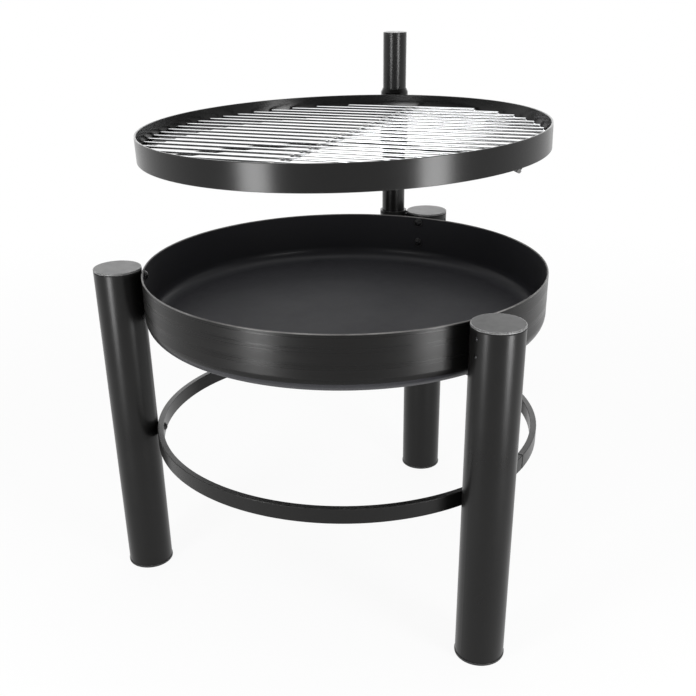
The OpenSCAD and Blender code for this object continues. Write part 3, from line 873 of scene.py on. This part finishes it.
class WeldRing(bpy.types.Operator):
    """Tacks between hoop and band, and the blobs at the brace rod's ends"""
    bl_idname = "fire_bowl.weld_ring"
    bl_label = "Weld Ring"

    def execute(self, context):
        welds, coat = context.scene.fire_bowl_welds, weld_coat(context.scene.fire_bowl_paint)
        # A tack fills the corner above the hoop, against the band
        y = RING_R - BAND_T - 0.25 * LEDGE_D
        z = LEDGE_Z + 0.42 * LEDGE_D
        places = [at(NECK_PLACE @ Matrix.Rotation((step + 0.5) * tau / welds.tacks, 4, "Z"), 0, y, z, ALONG_X)
                  for step in range(welds.tacks)]
        settle(copies(straight_bead(TACK_LENGTH, welds.bead, welds), places), "hoop_tacks", "carrier",
               coat)
        # Half the brace's arc, up to where its ends meet the band
        end_r = RING_R - BAND_T - welds.bead
        half = acos((BRACE_SET ** 2 + BRACE_R ** 2 - end_r ** 2) / (2 * BRACE_SET * BRACE_R))
        ends = []
        for side in (-1, 1):
            swung = at(NECK_PLACE, 0, -BRACE_SET, -BAND_H) @ Matrix.Rotation(side * half, 4, "Z")
            for inward in (-1, 1):
                ends.append(at(swung, 0, BRACE_R + inward * 0.45 * BRACE_D, -0.15 * BRACE_D))
        settle(copies(spot(1.4 * welds.bead, welds.bead), ends), "brace_welds", "carrier", coat)
        return {"FINISHED"}


class WeldNut(bpy.types.Operator):
    """The bead between the clamp nut and the sleeve"""
    bl_idname = "fire_bowl.weld_nut"
    bl_label = "Weld Nut"

    def execute(self, context):
        welds = context.scene.fire_bowl_welds
        low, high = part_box("clamp_nut")
        bead = round_bead((high.z - low.z) / 2, 0.7 * welds.bead, welds)
        for vertex in bead.data.vertices:
            vertex.co.z += sqrt(SLEEVE_R ** 2 - vertex.co.x ** 2)
        bead.matrix_world = CLAMP_PLACE
        settle(bead, "nut_weld", "carrier", weld_coat(context.scene.fire_bowl_paint))
        return {"FINISHED"}


class CutThread(bpy.types.Operator):
    """The clamp screw's thread behind the nut"""
    bl_idname = "fire_bowl.cut_thread"
    bl_label = "Cut Thread"

    def execute(self, context):
        deselect()
        bpy.ops.mesh.primitive_circle_add(vertices=3, radius=THREAD_PITCH / 2)
        thread = active("clamp_thread")
        shape()
        bpy.ops.transform.rotate(value=pi / 2, orient_axis="X", center_override=ORIGIN)
        bpy.ops.transform.resize(value=THREAD_SECTION, center_override=ORIGIN)
        bpy.ops.transform.translate(value=(CLAMP_D / 2, 0, THREAD_START))
        done()
        screw = thread.modifiers.new("thread", "SCREW")
        screw.axis = "Z"
        screw.screw_offset = THREAD_PITCH
        screw.iterations = int((THREAD_END - THREAD_START) / THREAD_PITCH)
        screw.steps = screw.render_steps = THREAD_STEPS
        screw.use_normal_calculate = True
        bpy.ops.object.modifier_apply(modifier=screw.name)
        shape()
        bpy.ops.mesh.remove_doubles(threshold=MERGE_DISTANCE)
        bpy.ops.mesh.select_all(action="DESELECT")
        bpy.ops.mesh.select_non_manifold(extend=False)
        bpy.ops.mesh.edge_face_add()
        bpy.ops.mesh.select_all(action="SELECT")
        bpy.ops.mesh.normals_make_consistent(inside=False)
        done()
        thread.matrix_world = CLAMP_PLACE
        settle(thread, "clamp_thread", "clamp", bpy.data.materials["zinc_plating"])
        return {"FINISHED"}


class WeldGrate(bpy.types.Operator):
    """Spot welds where the grate's wires cross the rod below them"""
    bl_idname = "fire_bowl.weld_grate"
    bl_label = "Weld Grate"

    def execute(self, context):
        z = -WIRE_DROP - WIRE_D
        places = [at(GRATE_PLACE, side * 0.32 * CROSS_D, k * WIRE_PITCH, z)
                  for k in range(-WIRE_SIDE, WIRE_SIDE + 1) for side in (-1, 1)]
        settle(copies(spot(0.5 * WIRE_D, 0.35 * WIRE_D), places), "grate_spots", "grate",
               plate_spots(context.scene.fire_bowl_metal))
        return {"FINISHED"}


# Stage

class SetStage(bpy.types.Operator):
    """Pale floor, soft lamps, room light and the camera"""
    bl_idname = "fire_bowl.set_stage"
    bl_label = "Set Stage"

    def execute(self, context):
        stage = context.scene.fire_bowl_stage
        context.scene.view_settings.view_transform = "Standard"
        self.lay_floor(stage)
        self.light_room(context.scene, stage)
        for lamp in SIDE_LAMPS:
            self.hang_lamp(*lamp, stage.side_lamp)
        self.hang_lamp(*BACK_LAMP, stage.back_lamp)
        self.light_from("lamp_top", TOP_LAMP_PLACE, (0, 0, 0), *TOP_LAMP_SIZE, stage.top_lamp)
        self.place_camera(context.scene)
        return {"FINISHED"}

    def lay_floor(self, stage):
        """Lit floor that keeps the object's shadow, and shows as white further out."""
        deselect()
        bpy.ops.mesh.primitive_grid_add(x_subdivisions=8, y_subdivisions=8, size=FLOOR_SIZE)
        floor = active("floor")
        material = bpy.data.materials.new("pale_floor")
        tree = bare_tree(material)
        tone = noise(tree, object_place(tree), 3.0, 3.0)
        lit = add(tree, "ShaderNodeBsdfDiffuse", None, Color=mottled(tree, tone, stage.floor, 0.985, 1.0))
        white = add(tree, "ShaderNodeEmission", None, Color=(1, 1, 1, 1), Strength=1.0)
        away = vector_calc(tree, "LENGTH", object_place(tree))["Value"]
        own = spread(tree, away, stage.whiteness, 1.0, WHITE_START, WHITE_END)
        mixed = add(tree, "ShaderNodeMixShader")
        feed(tree, mixed.inputs[0], calc(tree, "MULTIPLY", seen_directly(tree), own))
        feed(tree, mixed.inputs[1], lit.outputs[0])
        feed(tree, mixed.inputs[2], white.outputs[0])
        add(tree, "ShaderNodeOutputMaterial", None, Surface=mixed.outputs[0])
        dress(floor.data, material)

    def light_room(self, scene, stage):
        """White for the camera; gloss meets white behind and a dimmer room in front."""
        scene.world = bpy.data.worlds.new("room")
        tree = bare_tree(scene.world)
        depth = split(tree, add(tree, "ShaderNodeTexCoord").outputs["Generated"])[1]
        glossy = spread(tree, depth, stage.front, 1.0, FRONT_END, BACK_START)
        camera = add(tree, "ShaderNodeLightPath").outputs["Is Camera Ray"]
        white = calc(tree, "MAXIMUM", camera, glossy)
        strength = blend_values(tree, seen_directly(tree), stage.room, white)
        light = add(tree, "ShaderNodeBackground", None, Color=(1, 1, 1, 1), Strength=strength)
        add(tree, "ShaderNodeOutputWorld", None, Surface=light.outputs[0])

    def hang_lamp(self, name, azimuth, reach, height, width, tall, radiance):
        """Upright area lamp that faces the bowl's axis."""
        turn = radians(azimuth)
        place = (reach * sin(turn), -reach * cos(turn), height)
        self.light_from(name, place, (pi / 2, 0, turn), width, tall, radiance)

    def light_from(self, name, place, rotation, width, tall, radiance):
        """Area lamp of a radiance, unseen by the camera."""
        bpy.ops.object.light_add(type="AREA", location=place, rotation=rotation)
        lamp = active(name)
        lamp.visible_camera = False
        lamp.data.shape = "RECTANGLE"
        lamp.data.size, lamp.data.size_y = width, tall
        lamp.data.energy = radiance * pi * width * tall

    def place_camera(self, scene):
        """The camera where the photograph's stood, its lens shifted like the photograph's crop."""
        bpy.ops.object.camera_add()
        camera = active("camera")
        camera.matrix_world = (Matrix.Translation(CAMERA_PLACE) @ Matrix.Rotation(-CAMERA_PAN, 4, "Z")
                               @ Matrix.Rotation(pi / 2 - CAMERA_PITCH, 4, "X")
                               @ Matrix.Rotation(CAMERA_ROLL, 4, "Z"))
        lens = camera.data
        lens.sensor_width = SENSOR
        lens.lens = FOCAL / IMAGE * SENSOR
        lens.shift_x = (IMAGE / 2 - IMAGE_CENTRE[0]) / IMAGE
        lens.shift_y = (IMAGE_CENTRE[1] - IMAGE / 2) / IMAGE
        lens.clip_start, lens.clip_end = CLIP_START, CLIP_END
        scene.camera = camera


# Add-on

SETTINGS = (("fire_bowl_paint", PaintSettings), ("fire_bowl_metal", MetalSettings),
            ("fire_bowl_welds", WeldSettings), ("fire_bowl_stage", StageSettings))
STEPS = (SetStage, FinishStand, FinishBowl, FinishFasteners, FinishGrill, WeldStand, WeldNeck, WeldRing,
         WeldNut, CutThread, WeldGrate)


class FireBowlPanel(bpy.types.Panel):
    """Lists the settings and steps in the 3D view's sidebar"""
    bl_idname = "VIEW3D_PT_fire_bowl"
    bl_label = "Fire Bowl Grill"
    bl_space_type = "VIEW_3D"
    bl_region_type = "UI"
    bl_category = "Fire Bowl"

    def draw(self, context):
        for name, settings in SETTINGS:
            box = self.layout.box()
            for value in settings.__annotations__:
                box.prop(getattr(context.scene, name), value)
        for step in STEPS:
            self.layout.operator(step.bl_idname)


def register():
    """Registers the settings, the steps and the panel."""
    for name, settings in SETTINGS:
        bpy.utils.register_class(settings)
        setattr(bpy.types.Scene, name, PointerProperty(type=settings))
    for made in (*STEPS, FireBowlPanel):
        bpy.utils.register_class(made)


def unregister():
    """Takes back what register does."""
    for made in (FireBowlPanel, *reversed(STEPS)):
        bpy.utils.unregister_class(made)
    for name, settings in reversed(SETTINGS):
        delattr(bpy.types.Scene, name)
        bpy.utils.unregister_class(settings)


def main():
    """Runs every step."""
    register()
    for step in STEPS:
        family, action = step.bl_idname.split(".")
        getattr(getattr(bpy.ops, family), action)()


if __name__ == "__main__":
    main()
